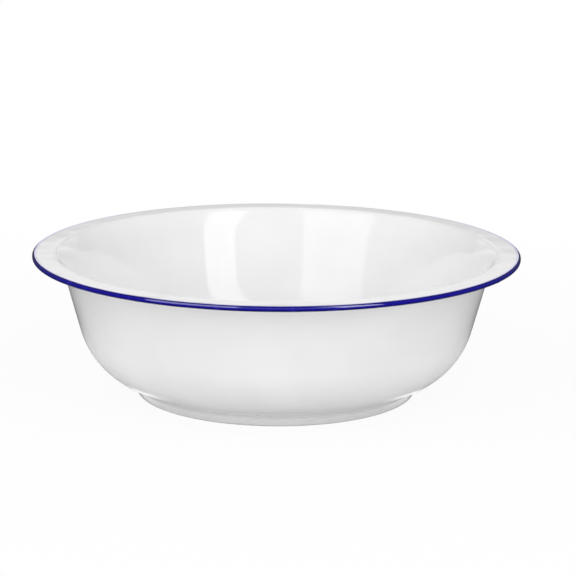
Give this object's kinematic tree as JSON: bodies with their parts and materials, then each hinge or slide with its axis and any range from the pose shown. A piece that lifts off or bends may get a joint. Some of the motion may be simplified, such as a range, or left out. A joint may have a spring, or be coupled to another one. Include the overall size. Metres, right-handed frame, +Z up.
{
  "type": "enamel basin bowl",
  "caption": "Round enamelled steel basin with a flat everted lip, a rolled and banded rim and a low stepped foot, for holding water, food or laundry.",
  "frame": {"origin": "centre of the resting face, at the level of the table", "axes": "+Z up along the basin's axis, towards the open mouth; X and Y are equal because the basin is round"},
  "size_m": [0.34, 0.34, 0.1],
  "materials": {
    "sheet_steel": "bare low-carbon sheet, sealed inside the enamel",
    "ground_enamel": "dark cobalt-bearing bonding glass, hidden under the cover coats",
    "white_enamel_inside": "glossy opaque white vitreous enamel",
    "white_enamel_outside": "glossy opaque white vitreous enamel",
    "cobalt_enamel": "glossy cobalt-blue vitreous enamel"
  },
  "bodies": {
    "root": {"steel_shell": "sheet_steel", "ground_coat": "ground_enamel", "interior_enamel": "white_enamel_inside", "exterior_enamel": "white_enamel_outside", "rim_enamel": "cobalt_enamel"}
  },
  "joints": []
}
